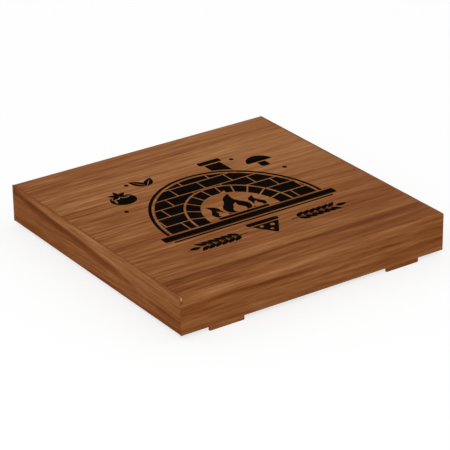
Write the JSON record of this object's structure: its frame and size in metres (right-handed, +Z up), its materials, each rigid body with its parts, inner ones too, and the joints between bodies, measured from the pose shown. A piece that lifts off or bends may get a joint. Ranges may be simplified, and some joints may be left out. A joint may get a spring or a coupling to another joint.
{
  "type": "pizza box",
  "caption": "Closed square pizza box folded from one corrugated blank, with a hinged tuck lid and a rolled-over front wall locked in slots.",
  "frame": {"origin": "middle of the footprint, at the level of the two tongues' tips, which the closed box stands on at its front", "axes": "+Z up through the lid, +X to the right seen from the front, -Y towards the front wall, with the lid's hinge line along X at +Y"},
  "size_m": [0.32, 0.32, 0.0452],
  "materials": {
    "tray_board": "satin wood-grain print outside, bare brown liner inside",
    "lid_board": "satin wood-grain print outside, bare brown liner inside"
  },
  "bodies": {
    "tray": {"tray": "tray_board"},
    "lid": {"lid": "lid_board"}
  },
  "joints": [
    {"name": "lid_hinge", "type": "hinge", "parent": "tray", "child": "lid", "pos_m": [0, 0.16, 0.04525], "axis": [-1, 0, 0], "range_deg": [0, 180]}
  ]
}
